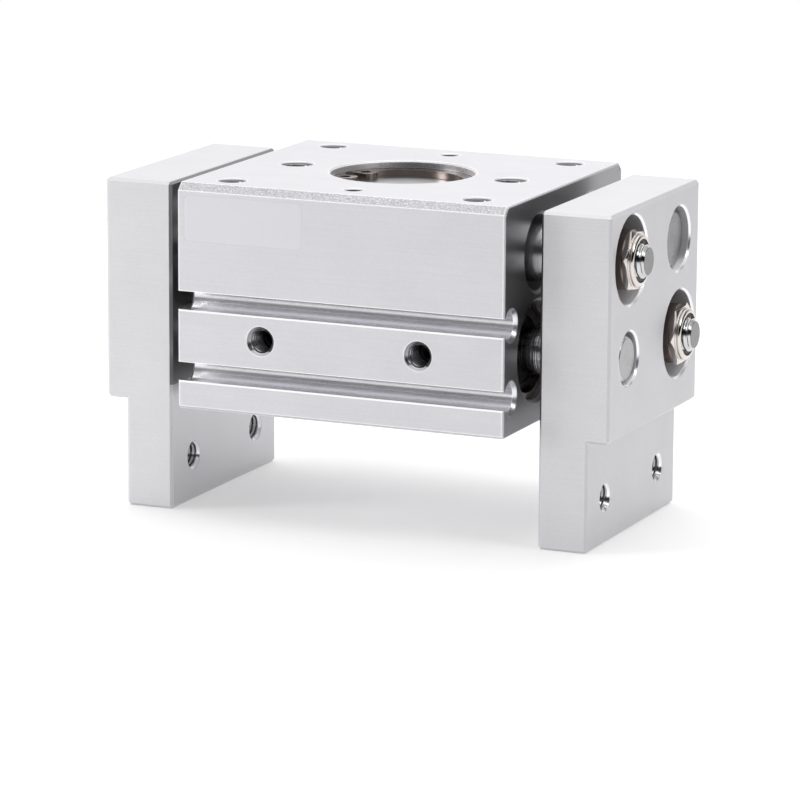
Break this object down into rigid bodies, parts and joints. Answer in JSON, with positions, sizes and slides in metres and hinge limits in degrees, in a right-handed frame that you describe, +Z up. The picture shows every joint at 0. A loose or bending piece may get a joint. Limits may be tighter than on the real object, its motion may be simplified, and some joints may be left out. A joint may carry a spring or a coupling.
{
  "type": "pneumatic gripper",
  "caption": "Parallel gripper with a block housing and wide-opening stepped jaws on round rods, kept in step by racks and a pinion and moved by air cylinders.",
  "frame": {"origin": "middle of the footprint at the lower ends of the jaws, jaws closed", "axes": "+X along the travel of the right jaw, +Z up towards the mounting face, ports and label on the -Y face"},
  "size_m": [0.099, 0.0536, 0.0585],
  "materials": {
    "housing_aluminium": "clear anodised, matte",
    "jaw_aluminium": "clear anodised, matte",
    "cover_aluminium": "turned",
    "steel": "machined",
    "rod_steel": "hard chromed, polished",
    "nut_steel": "nickel plated",
    "spacer_steel": "dark, polished",
    "spring_steel": "dark, phosphated",
    "bronze": "sintered, oily",
    "rubber": "satin",
    "magnet": "ground ferrite"
  },
  "bodies": {
    "housing": {"housing": "housing_aluminium", "air_way_plugs": "steel", "front_left_rod_cover": "cover_aluminium", "front_left_cover_ring": "rubber", "front_left_rod_seal": "rubber", "front_left_bumper": "rubber", "front_left_cover_circlip": "spring_steel", "front_left_rack_bush": "bronze", "front_left_rack_circlip": "spring_steel", "front_right_rod_cover": "cover_aluminium", "front_right_cover_ring": "rubber", "front_right_rod_seal": "rubber", "front_right_bumper": "rubber", "front_right_cover_circlip": "spring_steel", "front_right_rack_bush": "bronze", "front_right_rack_circlip": "spring_steel", "rear_left_rod_cover": "cover_aluminium", "rear_left_cover_ring": "rubber", "rear_left_rod_seal": "rubber", "rear_left_bumper": "rubber", "rear_left_cover_circlip": "spring_steel", "rear_left_rack_bush": "bronze", "rear_left_rack_circlip": "spring_steel", "rear_right_rod_cover": "cover_aluminium", "rear_right_cover_ring": "rubber", "rear_right_rod_seal": "rubber", "rear_right_bumper": "rubber", "rear_right_cover_circlip": "spring_steel", "rear_right_rack_bush": "bronze", "rear_right_rack_circlip": "spring_steel", "pinion_axle": "steel", "pinion_thrust_washer": "bronze", "pinion_cover": "cover_aluminium", "pinion_cover_circlip": "spring_steel"},
    "right_jaw": {"right_jaw": "jaw_aluminium", "right_rack": "rod_steel", "right_piston_rod": "rod_steel", "right_piston": "cover_aluminium", "right_piston_cap": "cover_aluminium", "right_piston_magnet": "magnet", "right_piston_seal": "rubber", "right_rack_spacer": "spacer_steel", "right_rack_nut": "nut_steel", "right_rod_spacer": "spacer_steel", "right_rod_nut": "nut_steel"},
    "left_jaw": {"left_jaw": "jaw_aluminium", "left_rack": "rod_steel", "left_piston_rod": "rod_steel", "left_piston": "cover_aluminium", "left_piston_cap": "cover_aluminium", "left_piston_magnet": "magnet", "left_piston_seal": "rubber", "left_rack_spacer": "spacer_steel", "left_rack_nut": "nut_steel", "left_rod_spacer": "spacer_steel", "left_rod_nut": "nut_steel"},
    "pinion": {"pinion": "steel", "pinion_bush": "bronze"}
  },
  "joints": [
    {"name": "right_jaw_slide", "type": "slide", "parent": "housing", "child": "right_jaw", "axis": [1, 0, 0], "range_m": [0, 0.015]},
    {"name": "left_jaw_slide", "type": "slide", "parent": "housing", "child": "left_jaw", "axis": [-1, 0, 0], "range_m": [0, 0.015]},
    {"name": "pinion_spin", "type": "hinge", "parent": "housing", "child": "pinion", "pos_m": [0, 0, 0.0486], "axis": [0, 0, 1], "range_deg": [0, 96]}
  ],
  "couplings": [
    {"joint": "left_jaw_slide", "follows": "right_jaw_slide", "ratio": 1},
    {"joint": "pinion_spin", "follows": "right_jaw_slide", "rad_per_m": 111.11}
  ]
}
